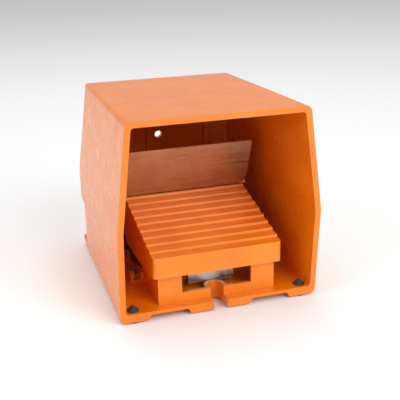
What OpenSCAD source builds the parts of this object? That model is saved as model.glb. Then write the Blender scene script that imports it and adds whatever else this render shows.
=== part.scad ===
// Guarded industrial foot switch: a die-cast hood, open to the front, over a
// ribbed pedal. A sheet-metal trigger flap at the toe end of the pedal has to
// be pushed back before the pedal goes down and works two contacts.
// Stations run along Y from the front of the hood, heights from its underside.

/* [Hood] */
// Width across the flanks, at the widest height
hood_w = 160; // [150:1:180]
// Height of the hood, without its feet
hood_h = 155; // [148:1:170]
// Depth from the front edge to the rear flange
hood_d = 186; // [180:1:205]
// Width across the roof
roof_w = 142; // [130:1:146]
// Height of the line where the flanks start to lean in
flank_h = 73; // [66:1:80]
// Casting wall
wall_t = 4.6; // [3.5:0.1:5.5]
// Share of the front width that is left at the rear
rear_taper = 0.93; // [0.90:0.01:1.0]
// How far the roof stops short of the full depth
roof_setback = 14; // [8:1:20]
// Fall of the roof towards the rear
roof_fall = 2.2; // [0:0.1:4]
// How far the bottom of the front edge is set back
toe_setback = 7; // [3:0.5:10]
// Radius of the outer edges
edge_r = 4.5; // [3:0.5:7]
// Radius of the inner corners
inner_r = 2.6; // [1.5:0.1:4]

/* [Hood floor] */
// Height of the floor's top face
floor_top = 7; // [6.5:0.1:8]
// Thickness of the floor between its pads
floor_t = 2.8; // [2.4:0.1:3.4]
// Width of the skid under each flank
skid_w = 22; // [18:1:26]
// Half width of the pad around the front fixing slot
pad_half_w = 24; // [18:0.5:30]
// Depth of the pad around the front fixing slot
pad_d = 27; // [25:1:34]
// Slope of the ends of the pads
pad_slope = 2.5; // [1:0.5:4]
// Width of the front fixing slot
slot_w = 11; // [8:0.5:12]
// Station of the centre of the slot's round end
slot_y = 22; // [20:0.5:24]
// Diameter of the two fixing holes in the rear flange
flange_hole_d = 9; // [6:0.5:11]
// Spacing of the two fixing holes in the rear flange
flange_hole_pitch = 100; // [80:1:110]

/* [Hood rear] */
// Depth of the cable recess under the rear bulge
recess_d = 23; // [18:1:28]
// Height of the recess' roof
recess_h = 46; // [44:1:50]
// Radius of the cove between the recess' wall and roof
cove_r = 7; // [4:0.5:9]
// Radius of the bulge's lower lip
lip_r = 8; // [6:0.5:10]
// Thickness of the rear flange
flange_t = 7.6; // [6:0.1:9]
// Diameter of the hole near the top of the rear wall
rear_hole_d = 6.6; // [4:0.1:8]
// Height of that hole
rear_hole_z = 100; // [90:1:120]
// Width of the stiffening ribs on the rear wall
rib_w = 5; // [3:0.5:7]
// Relief of the stiffening ribs
rib_t = 3; // [2:0.5:4]

/* [Feet] */
// Diameter of the disc that a foot stands on
foot_d = 11; // [9:0.5:13]
// How far a foot lifts the hood
foot_proud = 1.2; // [0.8:0.1:2]
// Diameter of the foot's neck
foot_neck_d = 6.4; // [5:0.1:7]
// Diameter of the barb above the floor
barb_d = 9; // [8:0.5:10]
// Height of the barb
barb_h = 4.4; // [3:0.1:6]
// Distance of the feet from the middle plane
foot_x = 68.5; // [66:0.5:70]
// Station of the front feet
foot_y = 13; // [12:0.5:16]

/* [Base] */
// Width of the base
base_w = 95; // [90:0.5:97]
// Station of the base's front face
base_y = 15.5; // [14.5:0.1:17]
// Wall of the base
base_t = 3; // [2.5:0.1:3.5]
// Height of the base's front wall
base_h = 29; // [27:0.5:30]
// Width of the window in the front wall
window_w = 57; // [50:1:62]
// Height of the sill under the window
sill_h = 7.3; // [6:0.1:9]
// Height of the base's flanks behind the front wall
flank_top = 17; // [14:0.5:19]
// Station where the flanks run out
flank_end = 92; // [86:1:96]
// Diameter of the screws in the base's lugs
lug_screw_d = 4; // [3:0.5:5]

/* [Pedal] */
// Width of the pedal
pedal_w = 104; // [103:0.5:106]
// Station of the pedal's front face
pedal_y = 10.5; // [9.5:0.1:11]
// Length of the tread along the ground
tread_l = 84.5; // [82:0.1:85]
// Slope of the tread
tread_a = 15.2; // [13:0.1:16]
// Height of the nose above the hood's underside
nose_h = 47.2; // [46:0.1:49]
// Height of the skirt's lower edge in front
skirt_h = 30.6; // [30:0.1:32]
// Height of the skirt's lower edge along the sides
skirt_side_h = 28; // [26:0.5:29.5]
// Thickness of the skirt
skirt_t = 2.6; // [2.2:0.1:2.8]
// Thickness of the tread plate under the ribs
plate_t = 4; // [3:0.1:5]
// Number of ribs
ribs = 10; // [8:1:12]
// Height of a rib
rib_h = 1.8; // [1.2:0.1:2.4]
// Diameter of the pivot pin
pivot_d = 6; // [5:0.5:7]
// Station of the pivot
pivot_y = 25; // [24:0.5:27]
// Height of the pivot
pivot_z = 36; // [35:0.5:37]
// Swing of the pedal in degrees
pedal_swing = 9; // [6:0.5:9]

/* [Trigger flap] */
// Length of the flap above its pin
flap_l = 46.5; // [40:0.5:50]
// Width of the flap
flap_w = 109.4; // [106:0.2:112]
// Length of the latch edge below the pin
tail_l = 18; // [15:0.5:18.5]
// Thickness of the sheet
flap_t = 1.8; // [1.5:0.1:2]
// Lean of the flap at rest, towards the front
flap_lean = 21.5; // [18:0.5:24]
// Diameter of the flap's pin
flap_pin_d = 3.2; // [3:0.1:3.6]
// Wall of the tube around the pin
barrel_t = 1.4; // [1.3:0.1:1.8]
// Wire of the two flap springs
flap_wire = 0.8; // [0.6:0.1:0.8]

/* [Contacts] */
// Height of the contact housing's lid
lid_top = 33; // [32:0.5:34]
// Thickness of the lid
lid_t = 2; // [1.5:0.1:2.6]
// Station of the housing's front face
housing_y = 44; // [42:1:46]
// Diameter of a plunger
plunger_d = 6; // [5:0.1:8]
// How far a plunger stands out at rest
plunger_out = 9; // [8:0.1:10]
// Station of the plungers
plunger_y = 58; // [56:1:60]
// Spacing of the plungers
plunger_pitch = 26; // [20:1:30]
// Diameter of the pedal springs
spring_d = 12; // [10:0.5:13]
// Wire of the pedal springs
spring_wire = 1.4; // [1:0.1:1.6]
// Spacing of the pedal springs
spring_pitch = 66; // [60:1:68]
// Station of the pedal springs
spring_y = 76; // [74:1:78]
// Diameter of the cable entry
entry_d = 20; // [18:0.5:20]

/* [Fits] */
// Clearance between pieces that stay still
seat = 0.2; // [0.1:0.05:0.3]
// Radial clearance of a pin or plunger that moves
running = 0.06; // [0.03:0.01:0.09]
// Gap between parts that pass each other
pass_gap = 0.8; // [0.5:0.1:1]
// Smoothness of the round pieces
detail = 48; // [24:4:64]

/* [Hidden] */
$fn = detail;

eps = 0.02;
cast = [0.93, 0.45, 0.08];
steel = [0.75, 0.74, 0.70];
plated = [0.72, 0.60, 0.38];
rubber = [0.08, 0.07, 0.07];
black = [0.13, 0.12, 0.12];

// Puts stations and heights into the part's frame.
module place() {
    translate([0, -hood_d / 2, foot_proud]) children();
}

// Extrudes an outline drawn in station and height, from x0 to x1.
module across(x0, x1) {
    translate([x0, 0, 0]) rotate([90, 0, 90]) linear_extrude(height = x1 - x0) children();
}

// A round bar or hole along X, from x0 to x1.
module bar_x(d, x0, x1) {
    translate([x0, 0, 0]) rotate([0, 90, 0]) cylinder(d = d, h = x1 - x0);
}

// A round bar or hole along Y, from y0 to y1.
module bar_y(d, y0, y1) {
    translate([0, y0, 0]) rotate([-90, 0, 0]) cylinder(d = d, h = y1 - y0);
}

// A six-sided bar along Y, af across its flats.
module hex_y(af, y0, y1) {
    translate([0, y0, 0]) rotate([-90, 0, 0]) cylinder(d = af / cos(30), h = y1 - y0, $fn = 6);
}

// A block between two corners.
module block(a, b) {
    translate(a) cube(b - a);
}

// A child drawn for the right side, on both sides.
module both_sides() {
    children();
    mirror([1, 0, 0]) children();
}

head_d = 7.6;
head_h = 2.8;

// A screw with a domed head that stands on z = 0, its shank below.
module pan_screw(d, shank_l) {
    translate([0, 0, -shank_l]) cylinder(d = d, h = shank_l + eps);
    difference() {
        union() {
            cylinder(d = head_d, h = head_h * 0.6);
            translate([0, 0, head_h * 0.6]) cylinder(d1 = head_d, d2 = head_d * 0.7, h = head_h * 0.4);
        }
        for (turn = [0, 90]) rotate([0, 0, turn])
            translate([-head_d * 0.3, -head_d * 0.06, head_h * 0.5])
                cube([head_d * 0.6, head_d * 0.12, head_h]);
    }
}

// Points of a round tube swept along a path, with its two ends closed.
function unit(v) = v / norm(v);
function side_of(t) = unit(cross(t, abs(t[2]) < 0.9 ? [0, 0, 1] : [1, 0, 0]));
function tangent(p, i) = unit(p[min(i + 1, len(p) - 1)] - p[max(i - 1, 0)]);
function ring(c, t, r, n) = let (u = side_of(t), v = cross(t, u))
    [for (k = [0:n - 1]) c + r * (cos(360 * k / n) * u + sin(360 * k / n) * v)];

module wire(path, d, n) {
    m = len(path);
    points = [for (i = [0:m - 1]) each ring(path[i], tangent(path, i), d / 2, n)];
    sides = [for (i = [0:m - 2], k = [0:n - 1]) let (a = i * n + k, b = i * n + (k + 1) % n)
        each [[a, b, b + n], [a, b + n, a + n]]];
    ends = [for (k = [1:n - 2]) each [[0, k + 1, k], [(m - 1) * n, (m - 1) * n + k,
        (m - 1) * n + k + 1]]];
    polyhedron(points = points, faces = concat(sides, ends), convexity = 10);
}

// ---------- hood ----------

front_y = -12;
relief_h = floor_top - floor_t;
recess_y = hood_d - recess_d;
skid_x = hood_w / 2 - skid_w;
lug_x = base_w / 2 + 5.5;
lug_front_y = 75;
lug_rear_y = 122;
lug_boss_d = 10;
rib_places = [-46, -9, 46];
flange_inset = 11;
bed_z = floor_top + inner_r * (1 - cos(7.5));
entry_z = lid_top - lid_t - entry_d / 2;
foot_inset = 18;

// Width of the hood at a station, for its front width w.
function width_at(w, y) = w * (1 - (1 - rear_taper) * y / hood_d);

// The four corners of one level of the hood's form, with the round r.
module level(w, z, depth, r) {
    for (side = [-1, 1]) {
        translate([side * (width_at(w, front_y) / 2 - r), front_y, z]) sphere(r = r, $fn = 24);
        translate([side * (width_at(w, depth) / 2 - r), depth - r, z]) sphere(r = r, $fn = 24);
    }
}

// The hood's closed form, drawn in from the outside by inset, down to low.
module form(inset, r, low) {
    roof_d = hood_d - roof_setback;
    hull() {
        level(roof_w - 2 * inset, hood_h - inset - r, roof_d - inset, r);
        level(hood_w - 2 * inset, flank_h, hood_d - inset, r);
        level(hood_w - 2 * inset, low + r, hood_d - inset, r);
    }
}

// Outline of the cable recess under the bulge, grown by t for the inner face. A
// cove leads from its wall into its roof, and the bulge above has a round lip.
module recess_outline(t) {
    cove = cove_r + t;
    lip = lip_r - t;
    wall_y = recess_y - t;
    roof_z = recess_h + t;
    translate([wall_y, flange_t - 4 * t]) square([hood_d, roof_z - cove - flange_t + 4 * t]);
    translate([wall_y + cove, roof_z - cove - eps]) square([hood_d, cove + eps]);
    translate([wall_y + cove, roof_z - cove]) circle(r = cove);
    translate([hood_d - t - lip, roof_z - eps]) difference() {
        square([2 * lip, lip]);
        translate([0, lip + eps]) circle(r = lip);
    }
}

module above_roof(drop) {
    across(-hood_w, hood_w) polygon([[2 * front_y, hood_h - drop], [0, hood_h - drop],
        [hood_d + 20, hood_h - drop - roof_fall], [hood_d + 20, hood_h + 20],
        [2 * front_y, hood_h + 20]]);
}

module before_front() {
    across(-hood_w, hood_w) polygon([[3 * front_y, -flank_h], [2 * toe_setback, -flank_h],
        [0, flank_h], [roof_fall / 2, hood_h + 1], [3 * front_y, hood_h + 1]]);
}

module cavity() {
    difference() {
        form(wall_t, inner_r, floor_top);
        across(-hood_w, hood_w) recess_outline(wall_t);
        above_roof(wall_t);
    }
}

// Pocket in the underside between x0 and x1, its ends sloped by s0 and s1.
module relief(x0, x1, y0, y1, s0, s1) {
    translate([0, y1, 0]) rotate([90, 0, 0]) linear_extrude(height = y1 - y0)
        polygon([[x0 - s0, -relief_h], [x0 + s0, relief_h], [x1 + s1, relief_h],
            [x1 - s1, -relief_h]]);
}

module lug_places() {
    for (side = [-1, 1], y = [lug_front_y, lug_rear_y]) translate([side * lug_x, y, 0]) children();
}

module underside() {
    relief_end = recess_y - 10;
    difference() {
        union() {
            both_sides() relief(pad_half_w, skid_x, front_y, relief_end, pad_slope, -pad_slope);
            block([-pad_half_w - pad_slope, toe_setback + pad_d, -1],
                [pad_half_w + pad_slope, relief_end, relief_h]);
        }
        lug_places() cylinder(d = lug_boss_d, h = floor_top);
    }
}

module fixing_slot() {
    translate([0, slot_y, -1]) cylinder(d = slot_w, h = floor_top + 2);
    block([-slot_w / 2, front_y, -1], [slot_w / 2, slot_y, floor_top + 1]);
}

foot_places = [for (f = [[foot_y, 1], [recess_y - foot_inset, rear_taper]], side = [-1, 1])
    [side * foot_x * f[1], f[0]]];

// Upright ribs on the inner face of the rear wall.
module rear_ribs() {
    inner_y = hood_d - wall_t;
    for (x = rib_places) across(x - rib_w / 2, x + rib_w / 2)
        polygon([[inner_y - rib_t, recess_h + wall_t - 1], [inner_y - rib_t, flank_h],
            [inner_y - roof_setback - rib_t, hood_h - wall_t - 1],
            [inner_y - roof_setback + 2, hood_h - wall_t - 1], [inner_y + 2, flank_h],
            [inner_y + 2, recess_h + wall_t - 1]]);
}

module hood() {
    color(cast) place() {
        difference() {
            form(0, edge_r, 0);
            above_roof(0);
            before_front();
            cavity();
            across(-hood_w, hood_w) recess_outline(0);
            underside();
            fixing_slot();
            for (p = foot_places) translate([p[0], p[1], -1])
                cylinder(d = foot_neck_d, h = floor_top + 2);
            translate([0, 0, rear_hole_z]) bar_y(rear_hole_d, hood_d / 2, hood_d + 1);
            translate([0, 0, entry_z]) bar_y(entry_d, recess_y - 2 * wall_t, recess_y + 1);
            for (side = [-1, 1]) translate([side * flange_hole_pitch / 2, hood_d - flange_inset, -1])
                cylinder(d = flange_hole_d, h = flange_t + 2);
            lug_places() translate([0, 0, 1]) cylinder(d = lug_screw_d, h = floor_top);
        }
        rear_ribs();
    }
}

// ---------- feet ----------

// A push-through foot: a disc under the hood, a neck and a pointed barb.
module foot(at) {
    color(rubber) place() translate([at[0], at[1], -foot_proud]) rotate_extrude()
        polygon([[0, 0], [foot_d / 2 - 0.5, 0], [foot_d / 2, 0.5], [foot_d / 2, foot_proud],
            [foot_neck_d / 2, foot_proud], [foot_neck_d / 2, foot_proud + bed_z],
            [barb_d / 2, foot_proud + bed_z], [barb_d / 2, foot_proud + bed_z + 0.8],
            [barb_d * 0.12, foot_proud + bed_z + barb_h], [0, foot_proud + bed_z + barb_h]]);
}

module foot_front_left() foot(foot_places[0]);
module foot_front_right() foot(foot_places[1]);
module foot_rear_left() foot(foot_places[2]);
module foot_rear_right() foot(foot_places[3]);

// ---------- base ----------

base_x = base_w / 2;
web_top = bed_z + base_t;
base_end = lug_rear_y + 8;
sill_top = bed_z + sill_h;
cross_y = housing_y - base_t - seat;
nose_half_w = 17;
lug_l = 22;
lug_w = 2 * (lug_x - base_x);
gusset_h = 9;
gusset_w = 2.8;
ear_r = 6.5;
flank_low = web_top;

module flank_outline() {
    polygon([[base_y, bed_z], [base_y, bed_z + base_h], [pivot_y, bed_z + base_h],
        [pivot_y + ear_r, pivot_z], [housing_y, bed_z + flank_top], [flank_end, flank_low],
        [flank_end, bed_z]]);
    translate([pivot_y, pivot_z]) circle(r = ear_r);
}

// A screw lug with two gussets in front of its screw.
module lug(y) {
    start = y - lug_l / 2 - 4;
    block([base_x - eps, start, bed_z], [base_x + lug_w, start + lug_l, web_top]);
    for (x = [base_x - eps, base_x + lug_w - gusset_w])
        block([x, start, bed_z], [x + gusset_w, start + 7, bed_z + gusset_h]);
}

housing_screw_places = [for (y = [housing_y + 8, base_end - 8], side = [-1, 1]) [side * 40, y]];
earth_at = [-36, 27];

module base() {
    color(cast) place() difference() {
        union() {
            block([-base_x, base_y, bed_z], [base_x, base_end, web_top]);
            block([-base_x, base_y, bed_z], [base_x, base_y + base_t, bed_z + base_h]);
            block([-base_x, cross_y, bed_z], [base_x, cross_y + base_t, bed_z + flank_top]);
            both_sides() across(base_x - base_t, base_x) flank_outline();
            translate([0, slot_y, bed_z]) cylinder(d = slot_w + 2 * base_t, h = sill_h);
            block([-slot_w / 2 - base_t, base_y, bed_z],
                [slot_w / 2 + base_t, slot_y, sill_top]);
            both_sides() {
                lug(lug_front_y);
                lug(lug_rear_y);
            }
        }
        block([-window_w / 2, base_y - 1, sill_top],
            [window_w / 2, base_y + base_t + 1, bed_z + base_h - 5]);
        translate([0, slot_y, bed_z - 1]) cylinder(d = slot_w, h = base_h);
        block([-slot_w / 2, base_y - 1, bed_z - 1], [slot_w / 2, slot_y, sill_top + 1]);
        block([-slot_w, 0, 0], [slot_w, base_y, hood_h]);
        block([-nose_half_w - seat, cross_y - 1, web_top],
            [nose_half_w + seat, cross_y + base_t + 1, web_top + base_h]);
        lug_places() translate([0, 0, bed_z - 1])
            cylinder(d = lug_screw_d + 2 * seat, h = base_t + 2);
        translate([0, pivot_y, pivot_z]) bar_x(pivot_d, -base_x - 1, base_x + 1);
        for (p = housing_screw_places) translate([p[0], p[1], bed_z + 1])
            cylinder(d = lug_screw_d, h = base_t);
        translate([earth_at[0], earth_at[1], bed_z + 1]) cylinder(d = lug_screw_d, h = base_t);
    }
}

module base_screws() {
    color(steel) place() lug_places() translate([0, 0, web_top])
        pan_screw(lug_screw_d, web_top - 1.5);
}

// ---------- pedal ----------

rise = tan(tread_a);
tread_end = pedal_y + tread_l;
rear_land = 2;
rib_pitch = (tread_l - rear_land) / (ribs - 1);
plate_drop = rib_h + plate_t / cos(tread_a);
pedal_x = pedal_w / 2;
barrel_r = flap_pin_d / 2 + running + barrel_t;
weld_t = 0.3;
flap_gap = 0.5;
sheet_back = -barrel_r + weld_t;
sheet_face = sheet_back - flap_t;
flap_y = tread_end + flap_gap - sheet_face / cos(flap_lean);
flap_z = nose_h + rise * tread_l;
lug_r = 3;
pin_cap = 0.8;
boss_z = lid_top + plunger_out + 0.3;
seat_z = lid_top + 16.5;
boss_d = 9;
stop_x = 20;
stop_y = 84;

// Height of a point of the pedal after it has swung down by a degrees.
function swung_z(y, z, a) = pivot_z + (z - pivot_z) * cos(a) - (y - pivot_y) * sin(a);

// Height of the tread's envelope at a station.
function tread_z(y) = nose_h + rise * (y - pedal_y);
function rib_y(i) = pedal_y + i * rib_pitch;

// Side view of the tread: a saw-tooth row with steep fronts.
function tread_points() = concat([[pedal_y, nose_h]],
    [for (i = [1:ribs - 1]) each [[rib_y(i) - 0.5, tread_z(rib_y(i)) - rib_h],
        [rib_y(i), tread_z(rib_y(i))]]],
    [[tread_end, tread_z(rib_y(ribs - 1)) + 0.2]]);

module pedal_outline() {
    polygon(concat([[pedal_y, skirt_h]], tread_points(), [[tread_end, skirt_side_h],
        [pedal_y + 14, skirt_side_h], [pedal_y + 8, skirt_h - 0.6]]));
}

// The side skirts run on behind the tread to carry the flap's pin.
module skirt_tail_outline() {
    polygon([[tread_end - 10, skirt_side_h], [tread_end - 10, tread_z(tread_end - 10) - rib_h],
        [tread_end, tread_z(tread_end) - 1], [flap_y - lug_r * 0.7, flap_z + lug_r * 0.7],
        [flap_y + lug_r, flap_z], [flap_y + lug_r, skirt_side_h + 6],
        [flap_y + lug_r - 4, skirt_side_h]]);
    translate([flap_y, flap_z]) circle(r = lug_r);
}

module under_tread_outline() {
    inner_y = pedal_y + skirt_t;
    polygon([[inner_y, 0], [inner_y, tread_z(inner_y) - plate_drop],
        [2 * hood_d, tread_z(2 * hood_d) - plate_drop], [2 * hood_d, 0]]);
}

// Plan view with rounded front corners.
module pedal_plan() {
    corner = 3;
    translate([-pedal_x, pedal_y + corner]) square([pedal_w, hood_d]);
    translate([-pedal_x + corner, pedal_y]) square([pedal_w - 2 * corner, hood_d]);
    for (side = [-1, 1]) translate([side * (pedal_x - corner), pedal_y + corner]) circle(r = corner);
}

// A boss that hangs under the tread at a place, down to the height z.
module hanging_boss(x, y, d, z) {
    translate([x, y, z]) cylinder(d = d, h = tread_z(y) - rib_h - 2 - z);
}

module pedal() {
    inner_x = pedal_x - skirt_t;
    color(cast) place() {
        difference() {
            union() {
                difference() {
                    intersection() {
                        across(-pedal_x, pedal_x) pedal_outline();
                        linear_extrude(height = hood_h) pedal_plan();
                    }
                    across(-inner_x, inner_x) under_tread_outline();
                }
                both_sides() {
                    across(inner_x, pedal_x) skirt_tail_outline();
                    translate([0, pivot_y, pivot_z]) bar_x(pivot_d + 4, base_x + pass_gap, inner_x + 1);
                }
            }
            translate([0, pivot_y, pivot_z])
                bar_x(pivot_d + 2 * running, -pedal_x + pin_cap, pedal_x - pin_cap);
            translate([0, flap_y, flap_z]) bar_x(flap_pin_d, -pedal_x - 1, pedal_x + 1);
        }
        for (side = [-1, 1]) {
            hanging_boss(side * plunger_pitch / 2, plunger_y, boss_d, boss_z);
            hanging_boss(side * spring_pitch / 2, spring_y, spring_d + 3, seat_z);
            hanging_boss(side * spring_pitch / 2, spring_y,
                spring_d - 2 * spring_wire - 1.2, seat_z - 4);
        }
        for (x = [-spring_pitch / 2, 0, spring_pitch / 2]) across(x - 1.2, x + 1.2)
            polygon([[pedal_y + 1, tread_z(pedal_y + 1) - plate_drop - 5],
                [pedal_y + 1, tread_z(pedal_y + 1) - rib_h - 2],
                [tread_end - 3, tread_z(tread_end - 3) - rib_h - 2],
                [tread_end - 3, tread_z(tread_end - 3) - plate_drop - 5]]);
    }
}

module pedal_pin() {
    pin_x = pedal_x - pin_cap - seat;
    color(steel) place() translate([0, pivot_y, pivot_z]) bar_x(pivot_d, -pin_x, pin_x);
}

// ---------- trigger flap ----------

flap_x = pedal_x - skirt_t - 0.4;
pin_head_l = 3.4;
coil_x = 40;
coil_gap = 6.4;
coil_turns = 4;
leg_up = 12;
leg_down = 9;

// Puts a child drawn around the pin, with the sheet upright, into its rest lean.
module lean() {
    translate([0, flap_y, flap_z]) rotate([flap_lean, 0, 0]) children();
}

// The flap's sheet from the front, its lower corners cut back for the pedal.
module flap_outline() {
    tail_x = coil_x - coil_gap;
    notch_z = lug_r + 0.4;
    for (side = [-1, 1]) polygon([[0, -tail_l], [side * tail_x, -tail_l], [side * tail_x, -barrel_r],
        [side * flap_x, -barrel_r], [side * flap_x, notch_z], [side * (pedal_x + 0.6), notch_z],
        [side * flap_w / 2, notch_z + 9.6], [side * flap_w / 2, flap_l - 0.8],
        [side * (flap_w / 2 - 0.8), flap_l], [0, flap_l]]);
}

module trigger_flap() {
    color(plated) place() lean() difference() {
        union() {
            translate([0, sheet_back, 0]) rotate([90, 0, 0])
                linear_extrude(height = flap_t) flap_outline();
            bar_x(2 * barrel_r, -flap_x, flap_x);
        }
        bar_x(flap_pin_d + 2 * running, -flap_x - 1, flap_x + 1);
        both_sides() block([coil_x - coil_gap / 2, sheet_back, -barrel_r - 1],
            [coil_x + coil_gap / 2, barrel_r + 1, barrel_r + 1]);
    }
}

module flap_pin() {
    color(steel) place() translate([0, flap_y, flap_z]) {
        bar_x(flap_pin_d, -pedal_x - eps, pedal_x + eps);
        both_sides() bar_x(flap_pin_d + 1.6, pedal_x, pedal_x + pin_head_l);
    }
}

// A torsion spring around the flap's pin: one leg up behind the sheet, the
// other straight down behind the tread.
module flap_spring(side) {
    r = flap_pin_d / 2 + 0.25 + flap_wire / 2;
    steps = 44;
    turned = 360 * coil_turns + flap_lean;
    coil_l = coil_turns * flap_wire * 1.15;
    coil = [for (i = [0:steps]) let (a = -turned * i / steps)
        [side * (coil_x + coil_l * (i / steps - 0.5)), r * cos(a), r * sin(a)]];
    first = [coil[0][0], sheet_back + flap_wire / 2 + 0.05, leg_up];
    last = coil[steps] - [0, leg_down * sin(flap_lean), leg_down * cos(flap_lean)];
    color(steel) place() lean() wire(concat([first], coil, [last]), flap_wire, 6);
}

module flap_spring_left() flap_spring(-1);
module flap_spring_right() flap_spring(1);

// ---------- contact housing ----------

housing_end = recess_y - wall_t - seat;
housing_z = lid_top - lid_t;
housing_x = base_x - seat;
well_z = lid_top - 8;
well_d = spring_d + 2;
plunger_in = 10;
stop_under = tread_z(stop_y) - plate_drop;
stop_top = swung_z(stop_y, stop_under, pedal_swing) - 1.2;
stop_h = 6.4;
post_z = stop_top - stop_h;
tail_y = flap_y + sheet_face * cos(flap_lean) + tail_l * sin(flap_lean);
tail_z = flap_z + sheet_face * sin(flap_lean) - tail_l * cos(flap_lean);
catch_top = swung_z(tail_y + flap_t, tail_z, pedal_swing) - 2.6;
bracket_y = 31;
bracket_t = 1.6;
bracket_half_w = 18.8;
bracket_z = 13.2;
bracket_top = 29;

module plunger_places() {
    for (side = [-1, 1]) translate([side * plunger_pitch / 2, plunger_y, 0]) children();
}

module spring_places() {
    for (side = [-1, 1]) translate([side * spring_pitch / 2, spring_y, 0]) children();
}

module stop_places() {
    for (side = [-1, 1]) translate([side * stop_x, stop_y, 0]) children();
}

module contact_housing() {
    color(black) place() difference() {
        union() {
            across(-housing_x, housing_x) polygon([[housing_y, bed_z + flank_top + seat],
                [flank_end + seat, flank_low + seat], [flank_end + seat, web_top],
                [housing_end, web_top], [housing_end, housing_z], [housing_y, housing_z]]);
            block([-base_x + base_t + seat, housing_y, web_top],
                [base_x - base_t - seat, flank_end + 1, housing_z]);
            block([-nose_half_w, bracket_y + bracket_t, bracket_z + 2],
                [nose_half_w, housing_y + 1, bracket_top]);
        }
        plunger_places() translate([0, 0, lid_top - plunger_in - 7])
            cylinder(r = plunger_d / 2 + running, h = lid_top);
        spring_places() translate([0, 0, well_z]) cylinder(d = well_d, h = lid_top);
        for (p = housing_screw_places) translate([p[0], p[1], web_top - 1])
            cylinder(d = lug_screw_d + 2 * seat, h = lid_top);
        translate([0, 0, entry_z]) bar_y(entry_d - 4 * seat, housing_end - 12, housing_end + 1);
    }
}

module housing_lid() {
    color(black) place() difference() {
        union() {
            block([-housing_x, housing_y, housing_z], [housing_x, housing_end, lid_top]);
            stop_places() translate([0, 0, housing_z]) cylinder(d = 12, h = post_z - housing_z);
        }
        plunger_places() translate([0, 0, housing_z - 1])
            cylinder(r = plunger_d / 2 + running, h = 4);
        spring_places() translate([0, 0, housing_z - 1]) cylinder(d = well_d, h = 4);
        for (p = housing_screw_places) translate([p[0], p[1], housing_z - 1])
            cylinder(d = lug_screw_d + 2 * seat, h = 4);
        stop_places() translate([0, 0, post_z - 4]) cylinder(d = 5, h = 5);
    }
}

module housing_screws() {
    color(steel) place() for (p = housing_screw_places) translate([p[0], p[1], lid_top])
        pan_screw(lug_screw_d, lid_top - bed_z - 1.5);
}

module contact_bracket() {
    color(steel) place() difference() {
        block([-bracket_half_w, bracket_y, bracket_z],
            [bracket_half_w, bracket_y + bracket_t, bracket_top]);
        bracket_screw_places() bar_y(1.6, bracket_y - 1, bracket_y + bracket_t + 1);
    }
}

module bracket_screw_places() {
    for (x = [5.8, 12.6]) translate([x, 0, bracket_z + 4.2]) children();
}

module bracket_screws() {
    color(steel) place() bracket_screw_places() {
        bar_y(1.6, bracket_y - eps, bracket_y + bracket_t);
        bar_y(2.8, bracket_y - 0.9, bracket_y);
    }
}

// A plunger with a domed top, guided in the housing.
module plunger(side) {
    color(plated) place() translate([side * plunger_pitch / 2, plunger_y, 0]) intersection() {
        translate([0, 0, lid_top - plunger_in]) cylinder(d = plunger_d, h = plunger_in + plunger_out);
        translate([0, 0, lid_top + plunger_out - 8]) union() {
            sphere(r = 8);
            translate([0, 0, -20]) cylinder(r = 8, h = 20);
        }
    }
}

module plunger_left() plunger(-1);
module plunger_right() plunger(1);

module plunger_seals() {
    color(rubber) place() plunger_places() translate([0, 0, lid_top]) difference() {
        cylinder(d1 = plunger_d + 6, d2 = plunger_d + 3, h = 2.4);
        translate([0, 0, -1]) cylinder(r = plunger_d / 2 + running, h = 5);
    }
}

// A compression spring between its well and the pedal.
module pedal_spring(side) {
    turns = 6;
    steps = 12;
    r = (spring_d - spring_wire) / 2;
    bottom = well_z + spring_wire / 2;
    height = seat_z - well_z - spring_wire;
    color(steel) place() translate([side * spring_pitch / 2, spring_y, bottom])
        wire([for (i = [0:turns * steps]) [r * cos(360 * i / steps), r * sin(360 * i / steps),
            height * i / (turns * steps)]], spring_wire, 6);
}

module pedal_spring_left() pedal_spring(-1);
module pedal_spring_right() pedal_spring(1);

// Steel angle behind the pedal that the flap's lower edge stands over.
module latch_catch() {
    y0 = 98;
    t = 1.5;
    color(steel) place() {
        block([-30, y0, lid_top], [30, y0 + 9, lid_top + t]);
        block([-30, y0, lid_top], [30, y0 + t, catch_top]);
    }
}

module pedal_stops() {
    color(rubber) place() stop_places() {
        translate([0, 0, post_z - 4]) cylinder(d = 5, h = 4 + eps);
        translate([0, 0, post_z]) cylinder(d1 = 10, d2 = 8, h = stop_h);
    }
}

// ---------- cable entry ----------

gland_af = 24;

module cable_gland() {
    color(black) place() translate([0, 0, entry_z]) difference() {
        union() {
            bar_y(entry_d - 4 * seat, housing_end - 11, recess_y + 1);
            hex_y(gland_af, recess_y, recess_y + 6);
            bar_y(entry_d - 4 * seat, recess_y + 5, recess_y + 9);
        }
        bar_y(entry_d - 8, housing_end - 13, recess_y + 12);
    }
}

module gland_nut() {
    nut_y = recess_y + 9;
    color(black) place() translate([0, 0, entry_z]) difference() {
        union() {
            hex_y(gland_af - 2, nut_y, nut_y + 8);
            translate([0, nut_y + 8 - eps, 0]) rotate([-90, 0, 0])
                cylinder(d1 = gland_af - 3, d2 = gland_af - 8, h = 4);
        }
        bar_y(entry_d - 8, nut_y - 1, nut_y + 14);
    }
}

module gland_seal() {
    color(rubber) place() translate([0, 0, entry_z]) difference() {
        bar_y(entry_d - 8, recess_y + 10, recess_y + 20);
        bar_y(entry_d - 12, recess_y + 9, recess_y + 21);
    }
}

// ---------- earth terminal ----------

module earth_washer() {
    color(plated) place() translate([earth_at[0], earth_at[1], web_top]) difference() {
        cylinder(d = 9, h = 1);
        translate([0, 0, -1]) cylinder(d = lug_screw_d + 2 * seat, h = 3);
    }
}

module earth_screw() {
    color(plated) place() translate([earth_at[0], earth_at[1], web_top + 1])
        pan_screw(lug_screw_d, 2.8);
}

// ---------- drawing ----------

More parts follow.
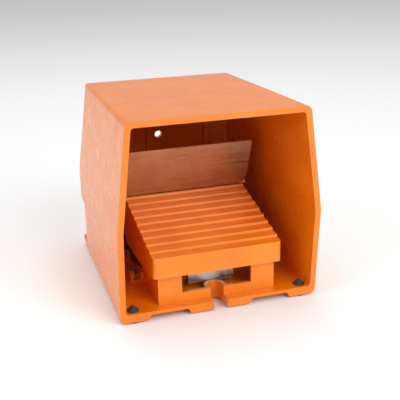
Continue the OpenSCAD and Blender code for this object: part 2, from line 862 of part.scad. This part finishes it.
hood();
foot_front_left();
foot_front_right();
foot_rear_left();
foot_rear_right();
base();
base_screws();
pedal();
pedal_pin();
trigger_flap();
flap_pin();
flap_spring_left();
flap_spring_right();
contact_housing();
housing_lid();
housing_screws();
contact_bracket();
bracket_screws();
plunger_left();
plunger_right();
plunger_seals();
pedal_spring_left();
pedal_spring_right();
latch_catch();
pedal_stops();
cable_gland();
gland_nut();
gland_seal();
earth_screw();
earth_washer();
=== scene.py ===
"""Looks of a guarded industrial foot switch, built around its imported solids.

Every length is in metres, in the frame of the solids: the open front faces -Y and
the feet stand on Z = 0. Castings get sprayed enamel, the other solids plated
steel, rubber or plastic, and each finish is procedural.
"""

from __future__ import annotations

import logging
import math
from dataclasses import dataclass
from enum import Enum

import bpy
import numpy as np
from mathutils import Matrix, Vector


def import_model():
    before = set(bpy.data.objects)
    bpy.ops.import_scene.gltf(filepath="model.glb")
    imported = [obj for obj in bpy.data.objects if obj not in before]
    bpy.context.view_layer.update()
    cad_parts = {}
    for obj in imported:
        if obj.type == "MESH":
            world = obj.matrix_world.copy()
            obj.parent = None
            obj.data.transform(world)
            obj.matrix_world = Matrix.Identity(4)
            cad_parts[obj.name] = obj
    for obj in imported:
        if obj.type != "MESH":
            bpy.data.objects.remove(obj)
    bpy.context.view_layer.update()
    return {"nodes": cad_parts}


LOG = logging.getLogger("foot_switch")
MM = 0.001
Colour = tuple[float, float, float]


def linear(red: int, green: int, blue: int) -> Colour:
    """Turns an 8-bit display colour into the linear values that shaders take.

    Args:
        red: Red from 0 to 255.
        green: Green from 0 to 255.
        blue: Blue from 0 to 255.

    Returns:
        The three linear values.
    """
    shares = np.array([red, green, blue]) / 255.0
    low = shares / 12.92
    high = ((shares + 0.055) / 1.055) ** 2.4
    return tuple(float(v) for v in np.where(shares <= 0.04045, low, high))


# ---------------------------------------------------------------- finishes


class ShaderGraph:
    """A material's node tree, with short calls for the nodes that finishes use."""

    def __init__(self, name: str) -> None:
        """Makes an empty material with one principled shader.

        Args:
            name: The material's name.
        """
        self.material = bpy.data.materials.new(name)
        self.material.use_nodes = True
        self.tree = self.material.node_tree
        self.tree.nodes.clear()
        self.output = self.tree.nodes.new("ShaderNodeOutputMaterial")
        self.shader = self.tree.nodes.new("ShaderNodeBsdfPrincipled")
        self.join(self.shader.outputs[0], self.output.inputs["Surface"])
        self.place = self.tree.nodes.new("ShaderNodeTexCoord").outputs["Object"]

    def join(self, source: bpy.types.NodeSocket, target: bpy.types.NodeSocket) -> None:
        """Links an output socket to an input socket."""
        self.tree.links.new(source, target)

    def noise(self, scale: float, detail: float, stretch: Colour = (1, 1, 1)) -> bpy.types.NodeSocket:
        """Adds a noise pattern.

        Args:
            scale: Cells per metre.
            detail: Octaves of finer noise.
            stretch: Factors along X, Y and Z, for brushed and cast patterns.

        Returns:
            The socket with the noise value.
        """
        mapping = self.tree.nodes.new("ShaderNodeMapping")
        mapping.inputs["Scale"].default_value = stretch
        self.join(self.place, mapping.inputs["Vector"])
        noise = self.tree.nodes.new("ShaderNodeTexNoise")
        noise.inputs["Scale"].default_value = scale
        noise.inputs["Detail"].default_value = detail
        self.join(mapping.outputs[0], noise.inputs["Vector"])
        return noise.outputs["Fac"]

    def spread(self, value: bpy.types.NodeSocket, low: float, high: float) -> bpy.types.NodeSocket:
        """Maps a noise value between 0.35 and 0.65 onto low to high.

        Args:
            value: The noise value.
            low: Result at 0.35 and below.
            high: Result at 0.65 and above.

        Returns:
            The mapped socket.
        """
        node = self.tree.nodes.new("ShaderNodeMapRange")
        node.inputs["From Min"].default_value = 0.35
        node.inputs["From Max"].default_value = 0.65
        node.inputs["To Min"].default_value = low
        node.inputs["To Max"].default_value = high
        self.join(value, node.inputs["Value"])
        return node.outputs["Result"]

    def blend(self, share: bpy.types.NodeSocket, first: Colour, second: Colour) -> bpy.types.NodeSocket:
        """Blends two colours by a share and returns the colour socket."""
        node = self.tree.nodes.new("ShaderNodeMix")
        node.data_type = "RGBA"
        node.inputs["A"].default_value = (*first, 1)
        node.inputs["B"].default_value = (*second, 1)
        self.join(share, node.inputs["Factor"])
        return node.outputs["Result"]

    def bump(self, heights: list[tuple[bpy.types.NodeSocket, float]]) -> None:
        """Stacks bumps on the shader's normal.

        Args:
            heights: Pairs of a height socket and its depth in metres.
        """
        below = None
        for height, depth in heights:
            node = self.tree.nodes.new("ShaderNodeBump")
            node.inputs["Strength"].default_value = 1.0
            node.inputs["Distance"].default_value = depth
            self.join(height, node.inputs["Height"])
            if below is not None:
                self.join(below, node.inputs["Normal"])
            below = node.outputs["Normal"]
        self.join(below, self.shader.inputs["Normal"])

    def settle(self, **values: float) -> None:
        """Sets unlinked inputs of the shader, with underscores for spaces in names."""
        for name, value in values.items():
            self.shader.inputs[name.replace("_", " ")].default_value = value


@dataclass(frozen=True)
class SprayedEnamel:
    """Glossy enamel sprayed on a die casting, with orange peel and faint mottling."""

    name: str
    colour: Colour
    shade: Colour
    roughness: float = 0.3
    coat: float = 0.25
    peel_depth: float = 0.00003

    def make(self) -> bpy.types.Material:
        """Builds the enamel's material and returns it."""
        graph = ShaderGraph(self.name)
        mottle = graph.spread(graph.noise(38, 4), 0, 1)
        graph.join(graph.blend(mottle, self.colour, self.shade), graph.shader.inputs["Base Color"])
        rough = graph.spread(graph.noise(120, 3), self.roughness - 0.05, self.roughness + 0.07)
        graph.join(rough, graph.shader.inputs["Roughness"])
        graph.settle(Coat_Weight=self.coat, Coat_Roughness=0.12, Specular_IOR_Level=0.5)
        graph.bump([(graph.noise(900, 2), self.peel_depth), (graph.noise(90, 2), self.peel_depth * 3)])
        return graph.material


@dataclass(frozen=True)
class PlatedSteel:
    """Plated sheet or turned steel with fine drawing lines along one axis."""

    name: str
    colour: Colour
    tint: Colour
    stretch: Colour
    roughness: float = 0.32
    line_depth: float = 0.000012

    def make(self) -> bpy.types.Material:
        """Builds the steel's material and returns it."""
        graph = ShaderGraph(self.name)
        cloud = graph.spread(graph.noise(45, 5), 0, 1)
        graph.join(graph.blend(cloud, self.colour, self.tint), graph.shader.inputs["Base Color"])
        lines = graph.noise(500, 3, self.stretch)
        rough = graph.spread(lines, self.roughness - 0.06, self.roughness + 0.1)
        graph.join(rough, graph.shader.inputs["Roughness"])
        graph.settle(Metallic=1.0)
        graph.bump([(lines, self.line_depth)])
        return graph.material


@dataclass(frozen=True)
class MouldedRubber:
    """Matt black rubber or moulded plastic with a fine eroded grain."""

    name: str
    colour: Colour
    bloom: Colour
    roughness: float = 0.65
    grain: float = 1400
    grain_depth: float = 0.00004

    def make(self) -> bpy.types.Material:
        """Builds the rubber's material and returns it."""
        graph = ShaderGraph(self.name)
        dust = graph.spread(graph.noise(60, 4), 0, 1)
        graph.join(graph.blend(dust, self.colour, self.bloom), graph.shader.inputs["Base Color"])
        rough = graph.spread(graph.noise(200, 3), self.roughness - 0.08, self.roughness + 0.1)
        graph.join(rough, graph.shader.inputs["Roughness"])
        graph.bump([(graph.noise(self.grain, 2), self.grain_depth)])
        return graph.material


class Finish(Enum):
    """The finishes on the switch."""

    HOOD_ENAMEL = SprayedEnamel("hood_enamel", linear(236, 128, 10), linear(230, 118, 8))
    PEDAL_ENAMEL = SprayedEnamel("pedal_enamel", linear(240, 132, 14), linear(232, 120, 10), 0.34, 0.15)
    ZINC_SHEET = PlatedSteel("zinc_steel", (0.62, 0.61, 0.58), (0.5, 0.49, 0.46), (0.05, 1, 1))
    YELLOW_SHEET = PlatedSteel("yellow_steel", (0.62, 0.53, 0.36), (0.54, 0.45, 0.29), (0.04, 1, 1), 0.3)
    SPRING_WIRE = PlatedSteel("spring_steel", (0.55, 0.55, 0.55), (0.42, 0.42, 0.43), (1, 1, 1), 0.28)
    BRASS = PlatedSteel("plunger_brass", (0.72, 0.55, 0.25), (0.62, 0.46, 0.2), (1, 1, 0.05), 0.25)
    RUBBER = MouldedRubber("black_rubber", (0.018, 0.018, 0.018), (0.035, 0.033, 0.032))
    HOUSING = MouldedRubber("black_plastic", (0.03, 0.03, 0.03), (0.045, 0.044, 0.043), 0.45, 2200, 0.00002)


_made: dict[Finish, bpy.types.Material] = {}


def finish_of(finish: Finish) -> bpy.types.Material:
    """Returns the material of a finish, made once."""
    if finish not in _made:
        _made[finish] = finish.value.make()
    return _made[finish]


# ---------------------------------------------------------------- the stage


@dataclass
class Studio:
    """A pale floor, soft lamps and the camera."""

    floor_half: float = 4.0
    lens: float = 72.0
    eye: Colour = (-0.18638, -0.6158, 0.27935)
    azimuth: float = -17.894
    elevation: float = 18.624
    roll: float = -1.231

    def floor(self) -> None:
        """Lays a large near-white floor."""
        h = self.floor_half
        mesh = bpy.data.meshes.new("floor")
        mesh.from_pydata([(-h, -h, 0), (h, -h, 0), (h, h, 0), (-h, h, 0)], [], [(0, 1, 2, 3)])
        floor = bpy.data.objects.new("floor", mesh)
        bpy.context.scene.collection.objects.link(floor)
        graph = ShaderGraph("floor_paper")
        graph.settle(Roughness=0.9)
        graph.shader.inputs["Base Color"].default_value = (0.9, 0.9, 0.9, 1)
        mesh.materials.append(graph.material)

    def world(self) -> None:
        """Gives a white backdrop to the camera and a softer level to the object."""
        world = bpy.data.worlds.new("studio")
        bpy.context.scene.world = world
        world.use_nodes = True
        tree = world.node_tree
        tree.nodes.clear()
        out = tree.nodes.new("ShaderNodeOutputWorld")
        seen = tree.nodes.new("ShaderNodeBackground")
        lights = tree.nodes.new("ShaderNodeBackground")
        seen.inputs["Color"].default_value = (1, 1, 1, 1)
        lights.inputs["Color"].default_value = (1, 1, 1, 1)
        lights.inputs["Strength"].default_value = 0.55
        path = tree.nodes.new("ShaderNodeLightPath")
        mix = tree.nodes.new("ShaderNodeMixShader")
        tree.links.new(path.outputs["Is Camera Ray"], mix.inputs["Fac"])
        tree.links.new(lights.outputs[0], mix.inputs[1])
        tree.links.new(seen.outputs[0], mix.inputs[2])
        tree.links.new(mix.outputs[0], out.inputs["Surface"])

    def lamp(self, name: str, at: Colour, size: float, power: float) -> None:
        """Hangs a square soft lamp that faces the object.

        Args:
            name: The lamp's name.
            at: Its place.
            size: Its side.
            power: Its power in watts.
        """
        data = bpy.data.lights.new(name, "AREA")
        data.size = size
        data.energy = power
        lamp = bpy.data.objects.new(name, data)
        bpy.context.scene.collection.objects.link(lamp)
        lamp.location = at
        aim = Vector((0, 0, 0.07)) - Vector(at)
        lamp.rotation_euler = aim.to_track_quat("-Z", "Y").to_euler()

    def camera(self) -> None:
        """Places the camera by its azimuth, elevation and roll."""
        az, el, roll = (math.radians(v) for v in (self.azimuth, self.elevation, self.roll))
        back = Vector((math.sin(az) * math.cos(el), -math.cos(az) * math.cos(el), math.sin(el)))
        right = (-back).cross(Vector((0, 0, 1))).normalized()
        up = right.cross(-back)
        turned_right = right * math.cos(roll) + up * math.sin(roll)
        turned_up = up * math.cos(roll) - right * math.sin(roll)
        data = bpy.data.cameras.new("camera")
        data.lens = self.lens
        data.sensor_width = 36.0
        camera = bpy.data.objects.new("camera", data)
        bpy.context.scene.collection.objects.link(camera)
        axes = Matrix((turned_right, turned_up, back)).transposed()
        camera.matrix_world = Matrix.Translation(Vector(self.eye)) @ axes.to_4x4()
        bpy.context.scene.camera = camera

    def build(self) -> None:
        """Makes the whole stage."""
        scene = bpy.context.scene
        scene.view_settings.view_transform = "Standard"
        self.camera()
        self.floor()
        self.world()
        self.lamp("key_lamp", (0.7, -1.5, 1.1), 1.2, 22)
        self.lamp("side_lamp", (-1.5, -0.4, 0.9), 1.2, 9)
        self.lamp("top_lamp", (0.0, 0.4, 1.8), 1.4, 12)


NODE_FINISH = {
    "hood": Finish.HOOD_ENAMEL, "base": Finish.PEDAL_ENAMEL, "pedal": Finish.PEDAL_ENAMEL,
    "trigger_flap": Finish.YELLOW_SHEET, "contact_bracket": Finish.ZINC_SHEET,
    "contact_housing": Finish.HOUSING, "housing_lid": Finish.HOUSING, "cable_gland": Finish.HOUSING,
    "gland_nut": Finish.HOUSING, "gland_seal": Finish.RUBBER, "plunger_seals": Finish.RUBBER,
    "pedal_stops": Finish.RUBBER, "foot_front_left": Finish.RUBBER, "foot_front_right": Finish.RUBBER,
    "foot_rear_left": Finish.RUBBER, "foot_rear_right": Finish.RUBBER, "plunger_left": Finish.BRASS,
    "plunger_right": Finish.BRASS, "earth_screw": Finish.YELLOW_SHEET, "earth_washer": Finish.YELLOW_SHEET,
    "pedal_spring_left": Finish.SPRING_WIRE, "pedal_spring_right": Finish.SPRING_WIRE,
    "flap_spring_left": Finish.SPRING_WIRE, "flap_spring_right": Finish.SPRING_WIRE,
}


def main() -> None:
    """Loads the solids, builds the stage and dresses each solid, logging its finish."""
    logging.basicConfig(level=logging.INFO, format="%(message)s")
    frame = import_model()
    Studio().build()
    for name, node in frame["nodes"].items():
        finish = NODE_FINISH.get(name, Finish.ZINC_SHEET)
        node.data.materials.clear()
        node.data.materials.append(finish_of(finish))
        LOG.info("%s: %s", name, finish.name)


if __name__ == "__main__":
    main()
